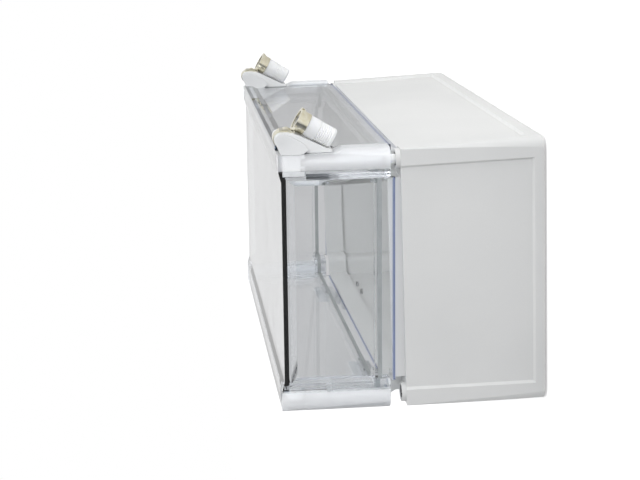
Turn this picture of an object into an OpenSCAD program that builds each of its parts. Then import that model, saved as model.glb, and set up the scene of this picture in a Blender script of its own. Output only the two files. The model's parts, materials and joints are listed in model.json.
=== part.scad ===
// Wall enclosure of polycarbonate: opaque tray, deep clear lid hinged on one
// long side, two lever latches with lock barrels on the other.
// X runs along the length, +Y is the latch side, -Y the hinge side,
// Z is the outward normal of the wall the tray is screwed to. Millimetres.

/* [Body] */
// Outside length at the back of the tray
length = 380; // [378:1:384]
// Outside width at the back of the tray
width = 190; // [189:1:194]
// Height of the tray from the wall to its rim
tray_h = 101; // [100:1:104]
// Depth of the clear lid from its rim to the window
lid_h = 80; // [79:0.5:81]
// How far each face leans in from the wall to the rim of the tray, along X
lean_x = 1.5; // [1.2:0.1:1.6]
// How far each face leans in from the wall to the rim of the tray, along Y
lean_y = 3; // [2.8:0.1:3.1]
// Radius of the four upright corners
corner_r = 8; // [6:1:9]

/* [Lid position] */
// Gap between rim and tray on the latch side, lid resting
gap_latch = 3.5; // [3.3:0.1:4]
// Angle of the resting lid, higher on the hinge side
lid_tilt = 1.5; // [1.4:0.1:1.6]

/* [Corner posts] */
// Post and channel axis from the middle, along X
post_x = 180; // [179.8:0.1:180.3]
// Post and channel axis from the middle, along Y
post_y = 84; // [83.7:0.1:84.1]
// Radius of the wall screw hole
wall_hole_r = 2.7; // [2.2:0.1:3]

/* [Inserts] */
// Insert spacing along X
insert_dx = 300; // [280:5:310]
// Insert spacing along Y
insert_dy = 120; // [100:5:125]
// Radius of the hole in each insert
insert_r = 1.65; // [1.2:0.05:2]

/* [Latches] */
// Radius of the white lock barrel
barrel_r = 7.5; // [7.1:0.1:7.6]
// Length of the white lock barrel
barrel_len = 20.5; // [19:0.5:20.5]
// Pitch of the fine rings on the barrel
ring_pitch = 1.5; // [1.2:0.1:2]
// Radius of the latch pin
latch_pin_r = 1.9; // [1.5:0.1:2]

/* [Hinges] */
// Middle of each hinge from the middle of the long side
hinge_x = 110; // [90:5:130]
// Radius of the hinge pins
hinge_pin_r = 1.75; // [1.5:0.05:1.9]

/* [Hidden] */
$fn = 48;
eps = 0.01;

hx = length / 2;
hy = width / 2;
rx = hx - lean_x;            // half length at the rim
ry = hy - lean_y;            // half width at the rim
lry = ry + 1.6;              // half width of the lid at its rim
rim = tray_h;
top_z = rim + lid_h;         // window face before the lid is laid in place
front_z = top_z - 1.5;       // level that the latch units are set out from
win_z = top_z - 1.8;         // window face, between the two long borders
win_y = 71;                  // half width of the window, before its sloping edges
plate_z = 175.7;             // inside face of the window
boss_z = rim + 3.2;          // tops of the corner posts
pad = 1.5;                   // raised middle of the back
hinge_ax = [-98.5, 105.2];   // hinge axis, y and z

tray_c = "gainsboro";
clear_c = [0.80, 0.86, 0.92, 0.45];
latch_c = "whitesmoke";
zinc_c = [0.86, 0.80, 0.52];

// ---- shared shapes ---------------------------------------------------

// Box whose four sides lean evenly: half sizes a at z0 and b at z1
module leaning(a, b, z0, z1) {
  intersection() {
    translate([0, 300, 0]) rotate([90, 0, 0]) linear_extrude(600)
      polygon([[-a[0], z0], [a[0], z0], [b[0], z1], [-b[0], z1]]);
    translate([-500, 0, 0]) rotate([90, 0, 90]) linear_extrude(1000)
      polygon([[-a[1], z0], [a[1], z0], [b[1], z1], [-b[1], z1]]);
  }
}

module rounded_rect(x, y, r) {
  union() {
    square([2 * (x - r), 2 * y], center = true);
    square([2 * x, 2 * (y - r)], center = true);
    for (i = [-1, 1], j = [-1, 1]) translate([i * (x - r), j * (y - r)]) circle(r);
  }
}

// Plan of the sealed space: a rectangle with a step round each corner post
module plan(x, y, nx, ny, r) {
  difference() {
    square([2 * x, 2 * y], center = true);
    for (i = [-1, 1], j = [-1, 1]) translate([i * nx, j * ny]) rotate(i > 0 ? (j > 0 ? 0 : -90) : (j > 0 ? 90 : 180))
      union() {
        translate([r, 0]) square([60, 60]);
        translate([0, r]) square([60, 60]);
        translate([r, r]) circle(r);
      }
  }
}

// Tray and lid half sizes at a height
function tx(z) = hx - lean_x * z / tray_h;
function ty(z) = hy - lean_y * z / tray_h;
function lx(z) = rx - 1.5 * (z - rim) / lid_h;
function ly(z) = lry - 1.2 * (z - rim) / lid_h;

// Lays the lid and all it carries on the tray
module laid() {
  translate([0, ry, rim + gap_latch]) rotate([-lid_tilt, 0, 0]) translate([0, -ry, -rim]) children();
}
// The same point in the lid's own coordinates
function unlaid(p) = let (a = p[0] - ry, b = p[1] - rim - gap_latch, c = cos(lid_tilt), s = sin(lid_tilt))
  [a * c - b * s + ry, a * s + b * c + rim];

module mirrored(far) { if (far) mirror([1, 0, 0]) children(); else children(); }

// ---- tray ------------------------------------------------------------

module tray_recess_end() {
  // shallow panel on an end face, open at the rim
  difference() {
    intersection() {
      translate([0, 0, -5]) linear_extrude(200)
        polygon([[150, -78.2], [186, -78.2], [192, -83.2], [192, 83.2], [186, 78.2], [150, 78.2]]);
      translate([0, 200, 0]) rotate([90, 0, 0]) linear_extrude(400)
        polygon([[150, 11.5], [186, 11.5], [192, 6.5], [200, 6.5], [200, 140], [150, 140]]);
    }
    leaning([tx(0) - 1.9, 200], [tx(160) - 1.9, 200], 0, 160);
  }
}
module tray_recess_side() {
  difference() {
    intersection() {
      translate([0, 0, -5]) linear_extrude(200)
        polygon([[-173.2, 60], [-173.2, 91], [-178.2, 97], [178.2, 97], [173.2, 91], [173.2, 60]]);
      translate([-250, 0, 0]) rotate([90, 0, 90]) linear_extrude(500)
        polygon([[60, 13.5], [91, 13.5], [97, 8.5], [110, 8.5], [110, 140], [60, 140]]);
    }
    leaning([400, ty(0) - 1.9], [400, ty(160) - 1.9], 0, 160);
  }
}

module base_shell() {
  color(tray_c) difference() {
    union() {
      // outside
      intersection() {
        leaning([tx(pad), ty(pad)], [tx(rim), ty(rim)], pad, rim);
        translate([0, 0, -1]) linear_extrude(rim + 2) rounded_rect(hx, hy, corner_r);
      }
      // raised middle of the back
      linear_extrude(pad + 1) rounded_rect(160, 68, 4);
      // corner posts above the rim
      for (i = [-1, 1], j = [-1, 1]) translate([i * post_x, j * post_y, 20]) cylinder(h = boss_z - 20, r = 7);
      // tongue the lid drops over
      translate([0, 0, rim - 6]) linear_extrude(15) difference() {
        plan(182.8, 87.2, 166.4, 71.8, 6);
        plan(180.4, 84.8, 164, 69.4, 6);
      }
    }
    // sealed space, wider below the rim
    translate([0, 0, 4.5]) linear_extrude(89.5) plan(183.3, 88.1, 166.8, 72.2, 5);
    translate([0, 0, 90]) linear_extrude(40) plan(180.4, 84.8, 164, 69.4, 6);
    // panels
    tray_recess_end();
    mirror([1, 0, 0]) tray_recess_end();
    tray_recess_side();
    mirror([0, 1, 0]) tray_recess_side();
    // posts: wall screw holes and the long bores above them
    for (i = [-1, 1], j = [-1, 1]) translate([i * post_x, j * post_y, 0]) {
      translate([0, 0, -1]) cylinder(h = 20, r = wall_hole_r);
      translate([0, 0, 9]) cylinder(h = 120, r = 4.7);
      translate([0, 0, boss_z - 6]) cylinder(h = 20, r = 6);
    }
    // seats for the hinge leaf screws
    for (i = [-1, 1], k = [-13, 13]) translate([i * hinge_x + k, -80, 90]) rotate([90, 0, 0]) cylinder(h = 20, r = 1.25);
  }
  // floor bosses that hold the inserts
  color(tray_c) for (i = [-1, 1], j = [-1, 1]) translate([i * insert_dx / 2, j * insert_dy / 2, 3])
    difference() {
      union() {
        cylinder(h = 11, r = 5);
        for (a = [0, 90]) rotate(a) translate([-8, -0.9, 0]) cube([16, 1.8, 6]);
      }
      translate([0, 0, 3]) cylinder(h = 10, r = 2.9);
    }
}

module catch_rings() {
  color("silver") for (i = [-1, 1], j = [-1, 1]) translate([i * post_x, j * post_y, boss_z - 6])
    difference() {
      cylinder(h = 5.6, r = 6);
      translate([0, 0, -1]) cylinder(h = 8, r = 4.7);
    }
}

module mounting_inserts() {
  color("goldenrod") for (i = [-1, 1], j = [-1, 1]) translate([i * insert_dx / 2, j * insert_dy / 2, 6])
    difference() {
      union() {
        cylinder(h = 8, r = 2.9);
        translate([0, 0, 8]) cylinder(h = 0.6, r = 3.6);
      }
      translate([0, 0, -1]) cylinder(h = 11, r = insert_r);
    }
}

// ---- hinges ----------------------------------------------------------

module hinge_leaf_base_near() {
  // two outer knuckles on a plate in the tray's side panel
  color(latch_c) translate([hinge_x, 0, 0]) difference() {
    union() {
      translate([-20, 0, 0]) rotate([90, 0, 90]) linear_extrude(40)
        polygon([[-90.8, 83], [-93.8, 83], [-94.3, 84], [-94.8, 99], [-90.8, 99]]);
      for (k = [-20, 8.2]) translate([k, 0, 0]) rotate([90, 0, 90]) linear_extrude(11.8) union() {
        polygon([[-90.8, 97], [-90.8, 99.4], [-95, 103.5], [-101.6, 102.7], [-94.6, 91]]);
        translate([hinge_ax[0], hinge_ax[1]]) circle(4);
      }
    }
    translate([-30, hinge_ax[0], hinge_ax[1]]) rotate([0, 90, 0]) cylinder(h = 60, r = hinge_pin_r + 0.05);
    for (k = [-13, 13]) translate([k, -90, 90]) rotate([90, 0, 0]) cylinder(h = 10, r = 1.7);
    for (k = [-13, 13]) translate([k, -93.2, 90]) rotate([90, 0, 0]) cylinder(h = 10, r = 3);
  }
}
module hinge_leaf_base_far() { mirror([1, 0, 0]) hinge_leaf_base_near(); }

module hinge_pin_near() {
  color("silver") translate([hinge_x - 20.6, hinge_ax[0], hinge_ax[1]]) rotate([0, 90, 0]) union() {
    cylinder(h = 41.2, r = hinge_pin_r);
    cylinder(h = 0.6, r = 2.6);
  }
}
module hinge_pin_far() { mirror([1, 0, 0]) hinge_pin_near(); }

module base_leaf_screws() {
  color("silver") for (i = [-1, 1], k = [-13, 13]) translate([i * hinge_x + k, 0, 90]) rotate([90, 0, 0])
    difference() {
      union() {
        translate([0, 0, 83.8]) cylinder(h = 10.4, r = 1.25);
        translate([0, 0, 93.2]) cylinder(h = 1.2, r = 2.8);
      }
      translate([-0.35, -3, 93.9]) cube([0.7, 6, 2]);
    }
}

lk = unlaid(hinge_ax);       // hinge axis in the lid's own coordinates
module hinge_leaf_lid_near() {
  color(latch_c) laid() translate([hinge_x, 0, 0]) difference() {
    union() {
      translate([-20, 0, 0]) rotate([90, 0, 90]) linear_extrude(40)
        polygon([[-91.6, 105], [-94.7, 105], [-94.5, 120], [-93.9, 121], [-91.6, 121]]);
      translate([-7.8, 0, 0]) rotate([90, 0, 90]) linear_extrude(15.6) union() {
        polygon([[-91.6, 105], [-91.6, 110], [-95.4, 112], [lk[0] - 3.4, lk[1] + 2.1], [lk[0] - 1, lk[1] - 3.87], [-94.6, 100]]);
        translate(lk) circle(4);
      }
    }
    translate([-30, lk[0], lk[1]]) rotate([0, 90, 0]) cylinder(h = 60, r = hinge_pin_r + 0.05);
    for (k = [-13, 13]) translate([k, -90, 114]) rotate([90, 0, 0]) cylinder(h = 10, r = 1.7);
    for (k = [-13, 13]) translate([k, -93.3, 114]) rotate([90, 0, 0]) cylinder(h = 10, r = 3);
  }
}
module hinge_leaf_lid_far() { mirror([1, 0, 0]) hinge_leaf_lid_near(); }

module lid_leaf_screws() {
  color("silver") laid() for (i = [-1, 1], k = [-13, 13]) translate([i * hinge_x + k, 0, 114]) rotate([90, 0, 0])
    difference() {
      union() {
        translate([0, 0, 88.6]) cylinder(h = 5.7, r = 1.25);
        translate([0, 0, 93.3]) cylinder(h = 1.2, r = 2.8);
      }
      translate([-0.35, -3, 94]) cube([0.7, 6, 2]);
    }
}

// ---- lid -------------------------------------------------------------

module lid_recess_end() {
  difference() {
    intersection() {
      translate([0, 0, 60]) linear_extrude(160)
        polygon([[150, -68.2], [185.6, -68.2], [194, -90], [194, 90], [185.6, 68.2], [150, 68.2]]);
      translate([0, 200, 0]) rotate([90, 0, 0]) linear_extrude(400)
        polygon([[150, 60], [200, 60], [200, 198], [194, 195], [185.6, 170], [150, 170]]);
    }
    leaning([lx(rim) - 2.2, 200], [lx(200) - 2.2, 200], rim, 200);
  }
}
module lid_recess_side() {
  difference() {
    intersection() {
      translate([0, 0, 60]) linear_extrude(160)
        polygon([[-163, 60], [-163, 90.4], [-183, 98], [183, 98], [163, 90.4], [163, 60]]);
      translate([-250, 0, 0]) rotate([90, 0, 90]) linear_extrude(500)
        polygon([[60, 60], [110, 60], [110, 190], [98, 187.5], [90.4, 170], [60, 170]]);
    }
    leaning([400, ly(rim) - 2.2], [400, ly(200) - 2.2], rim, 200);
  }
}

// latch unit coordinates: u runs back from the border, v out from the side face
unit_z = front_z;
unit_y = 92;
unit_x = 175.3;              // middle of each latch unit
function uv(p) = [unit_y + p[1], unit_z - p[0]];   // to y, z
module prism(x0, x1) {       // extrudes a profile given in y, z along X
  translate([x0, 0, 0]) rotate([90, 0, 90]) linear_extrude(x1 - x0) children();
}
pin_c = uv([1.2, 7.8]);

module lid_shell() {
  color(clear_c) laid() difference() {
    union() {
      difference() {
        union() {
          intersection() {
            leaning([lx(rim), ly(rim)], [lx(top_z), ly(top_z)], rim, top_z);
            translate([0, 0, rim - 1]) linear_extrude(lid_h + 4) rounded_rect(rx, lry, corner_r - 1);
          }
        }
        // shallow window bed with sloping sides, open at both ends
        prism(-200, 200) polygon([[-win_y, win_z], [win_y, win_z], [win_y + 7, top_z + 0.1], [win_y + 7, top_z + 5], [-win_y - 7, top_z + 5], [-win_y - 7, top_z + 0.1]]);
        // sealed space
        translate([0, 0, rim - 1]) linear_extrude(plate_z - rim + 1) plan(183.5, 88, 167.2, 72.6, 7);
        // more room under the long borders, so that the wall stays even
        for (j = [-1, 1]) translate([-158, j > 0 ? 79.5 : -87.5, plate_z - 5]) cube([316, 8, 7.2]);
        // hinge side: the corner steps are thinner above the seal
        translate([-183, -77.3, 116]) cube([366, 10, plate_z - 116]);
        lid_recess_end();
        mirror([1, 0, 0]) lid_recess_end();
        lid_recess_side();
        mirror([0, 1, 0]) lid_recess_side();
        // corner zones stop short of the rim
        for (i = [-1, 1], j = [-1, 1]) translate([i * (167.2 + 30), j * (72.6 + 30), rim - 1]) cube([60, 60, 9], center = true);
      }
      // ledge the gasket hangs from
      translate([0, 0, 113]) linear_extrude(2) difference() {
        plan(184.5, 89, 166.2, 71.6, 7);
        plan(179, 83.5, 162.7, 68.1, 7);
      }
      // housings round the latch blocks, running into the space
      for (i = [-1, 1]) translate([i * 175.2 - 11.7, 73, front_z - 18.5]) cube([23.4, 18, 17.5]);
    }
    // channels at the four corners
    for (i = [-1, 1], j = [-1, 1]) translate([i * post_x, j * post_y, rim - 2]) cylinder(h = j > 0 ? 64.5 : 46, r = 5.2);
    // hinge side: seats for the closing screws
    for (i = [-1, 1]) {
      translate([i * post_x, -post_y, 140]) cylinder(h = 40, r = 3.6);
      translate([i * post_x, -post_y, 149]) cylinder(h = 40, r = 6);
    }
    // latch side: pockets for the latch blocks and finger scoops behind them
    for (i = [-1, 1]) {
      translate([i * unit_x - 10.3, 74.6, front_z - 16.9]) cube([20.6, 40, 15.5]);
      translate([i * unit_x - 15, 89.8, front_z - 20.2]) cube([30, 10, 30]);
      translate([i * 175.5, 0, 0]) prism(-15, 15) polygon([[90.2, 159.5], [90.2, 142], [93.4, 135.5], [100, 135.5], [100, 159.5]]);
    }
    // screw seats for the hinge leaves
    for (i = [-1, 1], k = [-13, 13]) translate([i * hinge_x + k, -88.5, 114]) rotate([90, 0, 0]) cylinder(h = 8, r = 1.25);
  }
}

module lid_gasket() {
  color("lightgrey") laid() translate([0, 0, 110]) linear_extrude(3) difference() {
    plan(183.4, 87.9, 167.1, 72.5, 7);
    plan(179.6, 84.1, 163.3, 68.7, 7);
  }
}

// ---- latches (near unit; the far one is its mirror image) --------------

module latch_bracket_near() {
  color(latch_c) laid() difference() {
    union() {
      // block in the lid's pocket
      translate([unit_x - 10, 74.9, front_z - 16.6]) cube([20, 16, 14.9]);
      // two ears
      for (k = [[unit_x - 11.7, unit_x - 9.3], [unit_x + 9.3, unit_x + 11.7]]) {
        prism(k[0], k[1]) polygon([uv([0.5, -2.0]), uv([13.5, -2.0]), uv([17, -0.8]), uv([19.5, 1.2]), uv([16.4, 5.1]), uv([12.3, 7.65]), uv([8.3, 9.9]), uv([3.4, 12.0]), uv([-1.9, 8.4]), uv([-1.3, 2.5])]);
        translate([k[0], pin_c[0], pin_c[1]]) rotate([0, 90, 0]) cylinder(h = 2.4, r = 4.7);
      }
      // floor that joins the ears
      prism(unit_x - 11.7, unit_x + 11.7) polygon([uv([0.5, -2.0]), uv([14, -2.0]), uv([14, -1.2]), uv([0.4, -1.2])]);
    }
    translate([150, pin_c[0], pin_c[1]]) rotate([0, 90, 0]) cylinder(h = 50, r = latch_pin_r + 0.03);
    // way in for the draw rod
    translate([post_x, post_y, 150]) cylinder(h = 21, r = 3.9);
    // slots at the back of the block
    translate([unit_x + 6, 81.5, front_z - 20]) cube([6, 5.2, 6.2]);
    translate([unit_x + 6, 78, front_z - 20]) cube([6, 2.2, 6.2]);
  }
}
module latch_bracket_far() { mirror([1, 0, 0]) latch_bracket_near(); }

module latch_pin_near() {
  color("silver") laid() translate([unit_x - 11.9, pin_c[0], pin_c[1]]) rotate([0, 90, 0]) cylinder(h = 23.8, r = latch_pin_r);
}
module latch_pin_far() { mirror([1, 0, 0]) latch_pin_near(); }

// barrel axis: start of the white part, and the angle it slopes down at
bar_s = [19.1, 16.6];
bar_a = 30.5;
// Stands children up along the barrel axis, their Z towards the barrel's end
module along_barrel() {
  translate([unit_x, uv(bar_s)[0], uv(bar_s)[1]]) rotate([180 - bar_a, 0, 0]) children();
}

module latch_lever_near() {
  color(latch_c) laid() difference() {
    union() {
      prism(unit_x - 9, unit_x + 9) polygon([uv([-1.6, 11.2]), uv([1.2, 12.6]), uv([3.6, 12.8]), uv([6.5, 12.7]), uv([6.7, 12.1]), uv([9.8, 12.3]), uv([10.0, 11.7]), uv([13.3, 10.7]),
        uv([16, 9.2]), uv([22, 6.2]), uv([32.2, 1.3]), uv([36.0, 0.2]), uv([36.3, -0.4]), uv([35, -1.3]), uv([18.5, -1.3]), uv([16.5, 0.2]), uv([2.3, 2.9]), uv([-1.6, 3.9])]);
      translate([unit_x - 9, pin_c[0], pin_c[1]]) rotate([0, 90, 0]) cylinder(h = 18, r = 4.9);
    }
    // cradle for the lock barrel, wider round its collar
    along_barrel() translate([0, 0, -12]) cylinder(h = 12.6, r = 9.5);
    along_barrel() cylinder(h = barrel_len + 0.5, r = barrel_r + 0.35);
    // room for the strap's eye and arm
    translate([unit_x - 5.3, pin_c[0], pin_c[1]]) rotate([0, 90, 0]) cylinder(h = 10.6, r = 5.8);
    prism(unit_x - 5.3, unit_x + 5.3) polygon([uv([-4, 11.0]), uv([12, 11.0]), uv([12, 20]), uv([-4, 20])]);
    translate([150, pin_c[0], pin_c[1]]) rotate([0, 90, 0]) cylinder(h = 50, r = latch_pin_r + 0.05);
  }
}
module latch_lever_far() { mirror([1, 0, 0]) latch_lever_near(); }

module lock_strap_near() {
  color(zinc_c) laid() difference() {
    union() {
      // rolled eye and the arm that rises to the ring
      translate([unit_x - 4.8, pin_c[0], pin_c[1]]) rotate([0, 90, 0]) cylinder(h = 9.6, r = 5.3);
      prism(unit_x - 4.8, unit_x + 4.8) polygon([uv([-1.8, 12.0]), uv([1.2, 11.6]), uv([5, 11.6]), uv([8.6, 11.5]), uv([11.0, 11.8]), uv([10.9, 13.4]), uv([8.8, 14.8]), uv([5.6, 15.0]), uv([3.0, 14.4]), uv([0.4, 14.2])]);
      // ring in the collar's neck
      along_barrel() translate([0, 0, -6.2]) cylinder(h = 1.4, r = 8.6);
    }
    translate([150, pin_c[0], pin_c[1]]) rotate([0, 90, 0]) cylinder(h = 50, r = latch_pin_r + 0.05);
    along_barrel() translate([0, 0, -20]) cylinder(h = 13.8, r = 9.4);
    along_barrel() translate([0, 0, -4.8]) cylinder(h = 20, r = 8.1);
    along_barrel() translate([0, 0, -20]) cylinder(h = 40, r = 7.15);
  }
}
module lock_strap_far() { mirror([1, 0, 0]) lock_strap_near(); }

module lock_collar_near() {
  color(zinc_c) laid() along_barrel() difference() {
    union() {
      translate([0, 0, -4.8]) cylinder(h = 4.8, r = 7.9);
      translate([0, 0, -7.8]) cylinder(h = 7, r = 7.1);
      difference() {
        translate([0, 0, -7.8]) cylinder(h = 1.6, r = 9.1);
        for (a = [20, 110, 200, 290]) rotate(a) translate([8.3, -0.8, -10]) cube([3, 1.6, 5]);
      }
    }
    translate([0, 0, -12]) cylinder(h = 9.4, r = 6.3);
    translate([0, 0, -4]) cylinder(h = 9, r = 3.6);
  }
}
module lock_collar_far() { mirror([1, 0, 0]) lock_collar_near(); }

module lock_barrel_near() {
  n = floor((barrel_len - 9) / ring_pitch);
  color("white") laid() along_barrel() rotate_extrude() polygon(concat(
    [[3.7, 0], [barrel_r, 0], [barrel_r, 8.2]],
    [for (i = [0 : n - 1]) each [[barrel_r - 0.55, 8.6 + i * ring_pitch], [barrel_r, 8.6 + (i + 0.62) * ring_pitch]]],
    [[barrel_r - 0.5, barrel_len - 0.4], [barrel_r - 0.9, barrel_len], [3.7, barrel_len]]));
}
module lock_barrel_far() { mirror([1, 0, 0]) lock_barrel_near(); }

module lock_core_near() {
  color("silver") laid() along_barrel() difference() {
    union() {
      translate([0, 0, -6.9]) cylinder(h = 4.1, r = 6.1);
      translate([0, 0, -3]) cylinder(h = barrel_len + 2.2, r = 3.4);
    }
    // key pocket with a pin left standing and a bit on each side
    difference() {
      union() {
        translate([0, 0, -12]) cylinder(h = 7.6, r = 2.8);
        translate([-4.6, -0.9, -12]) cube([9.2, 1.8, 7.6]);
      }
      translate([0, 0, -13]) cylinder(h = 10, r = 1.5);
    }
  }
}
module lock_core_far() { mirror([1, 0, 0]) lock_core_near(); }

// ---- draw rods and closing screws --------------------------------------

module draw_rod_near() {
  color("whitesmoke") laid() translate([post_x, post_y, 0]) difference() {
    union() {
      translate([0, 0, 95]) cylinder(h = 69, r = 3.5);
      translate([0, 0, 106.5]) cylinder(h = 1.2, r = 4.6);
      translate([0, 0, 109.9]) cylinder(h = 1.2, r = 4.6);
    }
    // necked catch end
    translate([0, 0, 98]) difference() { cylinder(h = 1.6, r = 6); translate([0, 0, -1]) cylinder(h = 5, r = 2.6); }
  }
}
module draw_rod_far() { mirror([1, 0, 0]) draw_rod_near(); }

module rod_seal_near() {
  color("dimgray") laid() translate([post_x, post_y, 107.75]) difference() {
    cylinder(h = 2.1, r = 4.9);
    translate([0, 0, -1]) cylinder(h = 5, r = 3.55);
  }
}
module rod_seal_far() { mirror([1, 0, 0]) rod_seal_near(); }

module screw_sleeve_near() {
  color("dimgray") laid() translate([post_x, -post_y, 164.7]) difference() {
    cylinder(h = 2, r = 5.7);
    translate([0, 0, -1]) cylinder(h = 5, r = 3.1);
  }
}
module screw_sleeve_far() { mirror([1, 0, 0]) screw_sleeve_near(); }

module closing_screw_near() {
  color(latch_c) laid() translate([post_x, -post_y, 0]) difference() {
    union() {
      translate([0, 0, 166.8]) cylinder(h = 11, r = 5.6);
      translate([0, 0, 106]) cylinder(h = 61.5, r = 3.0);
      // bayonet lugs
      translate([-3.9, -1.2, 106.5]) cube([7.8, 2.4, 2.4]);
    }
    translate([-7, -0.9, 175.1]) cube([14, 1.8, 6]);
  }
}
module closing_screw_far() { mirror([1, 0, 0]) closing_screw_near(); }

base_shell();
catch_rings();
mounting_inserts();
hinge_leaf_base_near();
hinge_leaf_base_far();
hinge_pin_near();
hinge_pin_far();
base_leaf_screws();
lid_shell();
lid_gasket();
latch_bracket_near();
latch_bracket_far();
latch_pin_near();
latch_pin_far();
hinge_leaf_lid_near();
hinge_leaf_lid_far();
lid_leaf_screws();
latch_lever_near();
latch_lever_far();
lock_strap_near();
lock_strap_far();
lock_collar_near();
lock_collar_far();
lock_barrel_near();
lock_barrel_far();
lock_core_near();
lock_core_far();
draw_rod_near();
draw_rod_far();
rod_seal_near();
rod_seal_far();
screw_sleeve_near();
screw_sleeve_far();
closing_screw_near();
closing_screw_far();
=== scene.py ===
# Looks of a clear-lidded polycarbonate wall enclosure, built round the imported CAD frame.
# Metres, same frame as the CAD: +X along the length, +Y the latch side, +Z out of the wall.
import json
import math

import bmesh
import bpy
from mathutils import Matrix, Vector

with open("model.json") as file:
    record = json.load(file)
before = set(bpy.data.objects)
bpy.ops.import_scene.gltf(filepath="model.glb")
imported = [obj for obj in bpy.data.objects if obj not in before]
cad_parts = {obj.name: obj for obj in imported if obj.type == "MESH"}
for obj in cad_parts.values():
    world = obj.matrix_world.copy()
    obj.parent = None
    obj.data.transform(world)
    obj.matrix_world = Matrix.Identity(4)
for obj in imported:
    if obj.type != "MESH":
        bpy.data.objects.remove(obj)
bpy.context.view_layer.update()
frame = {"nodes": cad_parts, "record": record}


# ---------------------------------------------------------------- camera
scene = bpy.context.scene
scene.view_settings.view_transform = "Standard"
scene.view_settings.look = "None"

YAW, PITCH, ROLL = 0.1035, 0.23552, -0.03918
fwd = Vector((-math.cos(YAW) * math.cos(PITCH), -math.sin(PITCH), -math.sin(YAW) * math.cos(PITCH)))
side = fwd.cross(Vector((0, 1, 0))).normalized()
over = side.cross(fwd)
right = math.cos(ROLL) * side + math.sin(ROLL) * over
up = -math.sin(ROLL) * side + math.cos(ROLL) * over
cam_data = bpy.data.cameras.new("camera")
cam_data.sensor_width = 36.0
cam_data.lens = 1477.18915 / 640 * 36
cam_data.clip_start = 0.05
cam_data.clip_end = 50
cam = bpy.data.objects.new("camera", cam_data)
place = Matrix((right, up, -fwd)).transposed().to_4x4()
place.translation = (1.16493706, 0.2678493, 0.25986127)
cam.matrix_world = place
scene.collection.objects.link(cam)
scene.camera = cam


# ------------------------------------------------------------- materials
class Nodes:
    """A small helper for building a node material."""

    def __init__(self, name):
        self.mat = bpy.data.materials.new(name)
        self.mat.use_nodes = True
        self.tree = self.mat.node_tree
        self.tree.nodes.clear()
        self.out = self.tree.nodes.new("ShaderNodeOutputMaterial")
        self.bsdf = self.tree.nodes.new("ShaderNodeBsdfPrincipled")
        self.tree.links.new(self.bsdf.outputs["BSDF"], self.out.inputs["Surface"])
        self.coord = self.tree.nodes.new("ShaderNodeTexCoord").outputs["Object"]

    def node(self, kind, **inputs):
        n = self.tree.nodes.new(kind)
        for key, value in inputs.items():
            if key.startswith("_"):
                setattr(n, key[1:], value)
                continue
            socket = n.inputs[int(key[1:])] if key[0] == "i" and key[1:].isdigit() else n.inputs[key.replace("__", " ")]
            if isinstance(value, bpy.types.NodeSocket):
                self.tree.links.new(value, socket)
            else:
                socket.default_value = value
        return n

    def scaled(self, x, y, z):
        n = self.node("ShaderNodeMapping", Vector=self.coord)
        n.inputs["Scale"].default_value = (x, y, z)
        return n.outputs["Vector"]

    def noise(self, scale, detail=2.0, rough=0.5, distort=0.0, vector=None):
        return self.node("ShaderNodeTexNoise", Vector=vector or self.coord, Scale=scale, Detail=detail,
                         Roughness=rough, Distortion=distort).outputs["Fac"]

    def span(self, value, lo, hi, a=0.0, b=1.0):
        n = self.node("ShaderNodeMapRange", i0=value)
        n.inputs["From Min"].default_value = a
        n.inputs["From Max"].default_value = b
        n.inputs["To Min"].default_value = lo
        n.inputs["To Max"].default_value = hi
        return n.outputs["Result"]

    def mix(self, fac, a, b):
        n = self.tree.nodes.new("ShaderNodeMix")
        n.data_type = "RGBA"
        for socket, value in ((n.inputs[0], fac), (n.inputs[6], a), (n.inputs[7], b)):
            if isinstance(value, bpy.types.NodeSocket):
                self.tree.links.new(value, socket)
            else:
                socket.default_value = value if not isinstance(value, tuple) or len(value) == 4 else (*value, 1)
        return n.outputs[2]

    def math(self, op, a, b=0.0, c=0.0):
        n = self.tree.nodes.new("ShaderNodeMath")
        n.operation = op
        for socket, value in zip(n.inputs, (a, b, c)):
            if isinstance(value, bpy.types.NodeSocket):
                self.tree.links.new(value, socket)
            else:
                socket.default_value = value
        return n.outputs[0]

    def bump(self, height, strength, distance, normal=None):
        n = self.node("ShaderNodeBump", Height=height, Strength=strength, Distance=distance)
        if normal is not None:
            self.tree.links.new(normal, n.inputs["Normal"])
        return n.outputs["Normal"]

    def set(self, **inputs):
        for key, value in inputs.items():
            socket = self.bsdf.inputs[key.replace("__", " ")]
            if isinstance(value, bpy.types.NodeSocket):
                self.tree.links.new(value, socket)
            else:
                socket.default_value = value
        return self.mat


def tray_material():
    m = Nodes("tray_polycarbonate")
    cloud = m.noise(9, 3, 0.5)
    grain = m.noise(2600, 2, 0.6)
    flow = m.noise(3.2, 4, 0.55, 1.5, m.scaled(1.0, 5.0, 1.0))
    tone = m.mix(m.span(cloud, 0.0, 1.0, 0.35, 0.65), (0.655, 0.66, 0.652), (0.70, 0.703, 0.693))
    tone = m.mix(m.span(grain, 0.0, 0.25, 0.3, 0.7), tone, (0.60, 0.605, 0.60, 1))
    normal = m.bump(grain, 0.22, 0.00006, m.bump(flow, 0.1, 0.0006))
    return m.set(Base__Color=tone, Roughness=m.span(grain, 0.42, 0.56, 0.3, 0.7), Normal=normal, IOR=1.58,
                 Subsurface__Weight=0.06, Subsurface__Radius=(0.004, 0.004, 0.004), Subsurface__Scale=1.0)


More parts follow.
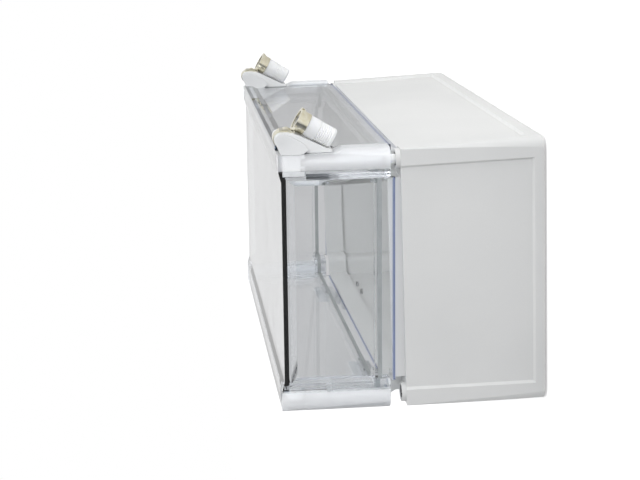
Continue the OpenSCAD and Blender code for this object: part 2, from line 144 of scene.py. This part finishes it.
def clear_material():
    m = Nodes("clear_polycarbonate")
    xyz = m.node("ShaderNodeSeparateXYZ", Vector=m.coord)
    ax = m.math("ABSOLUTE", xyz.outputs["X"])
    # the lid lies tilted by a degree and a half, so its own y and z are worked out from the frame's
    t = math.radians(1.5)
    ly = m.math("MULTIPLY_ADD", m.math("SUBTRACT", xyz.outputs["Y"], 0.092), math.cos(t), 0.092)
    ly = m.math("SUBTRACT", ly, m.math("MULTIPLY", m.math("SUBTRACT", xyz.outputs["Z"], 0.1045), math.sin(t)))
    ay = m.math("ABSOLUTE", ly)
    # the corner columns have a satin texture, the panels are polished
    column = m.math("MULTIPLY", m.span(ax, 0.0, 1.0, 0.1665, 0.1690), m.span(ay, 0.0, 1.0, 0.0782, 0.0794))
    z = m.math("ADD", m.math("MULTIPLY", xyz.outputs["Y"], math.sin(t)), m.math("MULTIPLY", xyz.outputs["Z"], math.cos(t)))
    rim_z = 0.092 * math.sin(t) + 0.1045 * math.cos(t)
    # mask for the lid's bottom rim band, which gets a painted dark blue reflection standing in for the dark edge
    # reflection of the surroundings
    rim_painted_reflection = m.span(z, 1.0, 0.0, rim_z + 0.0010, rim_z + 0.0020)
    wave = m.noise(14, 3, 0.5, 0.6)
    scuff = m.noise(60, 5, 0.7, 0.0, m.scaled(1.0, 9.0, 2.0))
    satin = m.noise(2600, 2, 0.6)
    tint = m.mix(m.span(wave, 0.0, 1.0, 0.3, 0.7), (0.962, 0.968, 0.974), (0.982, 0.985, 0.99))
    # painted reflection: dark navy mixed into the tint along the rim band
    tint = m.mix(rim_painted_reflection, tint, (0.30, 0.36, 0.58))
    rough = m.math("MAXIMUM", m.span(scuff, 0.0, 0.012, 0.55, 0.8), m.math("MULTIPLY", column, 0.45))
    height = m.math("MULTIPLY_ADD", m.math("MULTIPLY", column, satin), 0.3, m.math("MULTIPLY", wave, 1.0))
    m.set(Base__Color=tint, Roughness=rough, IOR=1.585,
          Transmission__Weight=m.span(column, 1.0, 0.6), Normal=m.bump(height, 0.06, 0.0006))
    # lamps reach what is behind the lid
    lit = m.tree.nodes.new("ShaderNodeBsdfTransparent")
    lit.inputs["Color"].default_value = (0.93, 0.94, 0.95, 1)
    either = m.tree.nodes.new("ShaderNodeMixShader")
    path = m.tree.nodes.new("ShaderNodeLightPath")
    m.tree.links.new(path.outputs["Is Shadow Ray"], either.inputs[0])
    m.tree.links.new(m.bsdf.outputs["BSDF"], either.inputs[1])
    m.tree.links.new(lit.outputs["BSDF"], either.inputs[2])
    m.tree.links.new(either.outputs[0], m.out.inputs["Surface"])
    # the faint blue that only shows through a long way of plastic
    deep = m.tree.nodes.new("ShaderNodeVolumeAbsorption")
    deep.inputs["Color"].default_value = (0.16, 0.30, 0.48, 1)
    deep.inputs["Density"].default_value = 6.0
    m.tree.links.new(deep.outputs[0], m.out.inputs["Volume"])
    return m.mat


def latch_material():
    m = Nodes("latch_plastic")
    cloud = m.noise(40, 3, 0.5)
    grain = m.noise(3800, 2, 0.6)
    tone = m.mix(m.span(cloud, 0.0, 1.0, 0.3, 0.7), (0.70, 0.71, 0.715), (0.77, 0.778, 0.78))
    return m.set(Base__Color=tone, Roughness=m.span(grain, 0.26, 0.36, 0.3, 0.7), IOR=1.54,
                 Normal=m.bump(grain, 0.12, 0.00004),
                 Subsurface__Weight=0.15, Subsurface__Radius=(0.003, 0.003, 0.003), Subsurface__Scale=1.0)


def zinc_material():
    m = Nodes("yellow_zinc_steel")
    patch = m.noise(140, 4, 0.6, 1.2)
    fine = m.noise(2200, 3, 0.6)
    tone = m.mix(m.span(patch, 0.0, 1.0, 0.35, 0.65), (0.72, 0.67, 0.48), (0.82, 0.79, 0.66))
    tone = m.mix(m.span(m.noise(260, 3, 0.5, 2.0), 0.0, 0.35, 0.5, 0.7), tone, (0.68, 0.58, 0.42, 1))
    return m.set(Base__Color=tone, Metallic=1.0, Roughness=m.span(patch, 0.07, 0.16, 0.3, 0.7),
                 Normal=m.bump(fine, 0.06, 0.00003))


def steel_material():
    m = Nodes("plain_steel")
    fine = m.noise(900, 3, 0.6)
    patch = m.noise(90, 3, 0.5)
    tone = m.mix(m.span(patch, 0.0, 1.0, 0.3, 0.7), (0.55, 0.55, 0.56), (0.68, 0.68, 0.69))
    return m.set(Base__Color=tone, Metallic=1.0, Roughness=m.span(fine, 0.2, 0.36, 0.3, 0.7),
                 Normal=m.bump(fine, 0.15, 0.00004))


def nylon_material():
    m = Nodes("white_nylon")
    grain = m.noise(1800, 2, 0.6)
    cloud = m.noise(70, 2, 0.5)
    tone = m.mix(m.span(cloud, 0.0, 1.0, 0.3, 0.7), (0.76, 0.77, 0.78), (0.83, 0.835, 0.84))
    return m.set(Base__Color=tone, Roughness=m.span(grain, 0.25, 0.34, 0.3, 0.7), IOR=1.53,
                 Subsurface__Weight=0.6, Subsurface__Radius=(0.004, 0.004, 0.0045), Subsurface__Scale=1.0,
                 Normal=m.bump(grain, 0.1, 0.00004))


def brass_material():
    m = Nodes("brass")
    fine = m.noise(1500, 3, 0.6)
    tone = m.mix(m.span(m.noise(120, 3, 0.5), 0.0, 1.0, 0.3, 0.7), (0.72, 0.53, 0.25), (0.82, 0.64, 0.33))
    return m.set(Base__Color=tone, Metallic=1.0, Roughness=m.span(fine, 0.2, 0.34, 0.3, 0.7),
                 Normal=m.bump(fine, 0.15, 0.00004))


def rubber_material():
    m = Nodes("seal_rubber")
    fine = m.noise(1900, 3, 0.6)
    tone = m.mix(m.span(m.noise(80, 3, 0.5), 0.0, 1.0, 0.3, 0.7), (0.30, 0.32, 0.32), (0.38, 0.40, 0.40))
    return m.set(Base__Color=tone, Roughness=m.span(fine, 0.55, 0.72, 0.3, 0.7), Normal=m.bump(fine, 0.2, 0.00006))


MATERIALS = {
    "tray_polycarbonate": tray_material(),
    "clear_polycarbonate": clear_material(),
    "latch_plastic": latch_material(),
    "yellow_zinc_steel": zinc_material(),
    "plain_steel": steel_material(),
    "white_nylon": nylon_material(),
    "brass": brass_material(),
    "seal_rubber": rubber_material(),
}
SLOTS = {row["node"]: row["material_slot"] for row in frame["record"]["subparts"]}

for name, obj in frame["nodes"].items():
    mesh = obj.data
    mat = MATERIALS[SLOTS[name]]
    if len(mesh.materials) == 0:
        mesh.materials.append(mat)
    for i in range(len(mesh.materials)):
        mesh.materials[i] = mat

# ---------------------------------------------------------------- stage
floor_mesh = bpy.data.meshes.new("floor")
bm = bmesh.new()
bmesh.ops.create_grid(bm, x_segments=2, y_segments=2, size=6)
bm.to_mesh(floor_mesh)
bm.free()
floor = bpy.data.objects.new("floor", floor_mesh)
floor.location = (0, 0, -0.0002)
scene.collection.objects.link(floor)
fm = Nodes("floor")
seen = fm.tree.nodes.new("ShaderNodeLightPath").outputs["Is Camera Ray"]
pale = fm.mix(fm.span(fm.noise(3, 3, 0.5), 0.0, 1.0, 0.3, 0.7), (0.90, 0.90, 0.90), (0.93, 0.93, 0.93))
fm.set(Base__Color=fm.mix(seen, (0.72, 0.72, 0.72), pale), Roughness=0.8, Emission__Color=(1, 1, 1, 1),
       Emission__Strength=fm.math("MULTIPLY", seen, 0.45))
floor_mesh.materials.append(fm.mat)

world = bpy.data.worlds.new("studio")
scene.world = world
world.use_nodes = True
wt = world.node_tree
wt.nodes.clear()
w_out = wt.nodes.new("ShaderNodeOutputWorld")
w_bg = wt.nodes.new("ShaderNodeBackground")
wt.links.new(w_bg.outputs[0], w_out.inputs[0])
w_bg.inputs["Strength"].default_value = 1.0
w_dir = wt.nodes.new("ShaderNodeTexCoord")
w_xyz = wt.nodes.new("ShaderNodeSeparateXYZ")
wt.links.new(w_dir.outputs["Generated"], w_xyz.inputs[0])
w_ramp = wt.nodes.new("ShaderNodeValToRGB")
w_map = wt.nodes.new("ShaderNodeMapRange")
w_map.inputs["From Min"].default_value = -1
wt.links.new(w_xyz.outputs["X"], w_map.inputs["Value"])
wt.links.new(w_map.outputs[0], w_ramp.inputs[0])
w_ramp.color_ramp.elements[0].position = 0.5
w_ramp.color_ramp.elements[0].color = (0.86, 0.86, 0.86, 1)
w_ramp.color_ramp.elements[1].position = 0.95
w_ramp.color_ramp.elements[1].color = (0.16, 0.17, 0.20, 1)
w_path = wt.nodes.new("ShaderNodeLightPath")
w_mix = wt.nodes.new("ShaderNodeMix")
w_mix.data_type = "RGBA"
wt.links.new(w_path.outputs["Is Camera Ray"], w_mix.inputs[0])
wt.links.new(w_ramp.outputs[0], w_mix.inputs[6])
w_mix.inputs[7].default_value = (1, 1, 1, 1)
wt.links.new(w_mix.outputs[2], w_bg.inputs["Color"])


def softbox(name, location, target, size, power, size_y=None):
    data = bpy.data.lights.new(name, "AREA")
    data.energy = power
    data.shape = "RECTANGLE"
    data.size = size
    data.size_y = size_y or size
    o = bpy.data.objects.new(name, data)
    o.location = location
    o.rotation_euler = (Vector(target) - Vector(location)).to_track_quat("-Z", "Y").to_euler()
    scene.collection.objects.link(o)
    return o


softbox("top_light", (0.2, 1.5, 0.3), (0, 0, 0.1), 1.6, 14)
softbox("front_light", (1.3, 0.7, 0.9), (0, 0, 0.1), 1.0, 12)
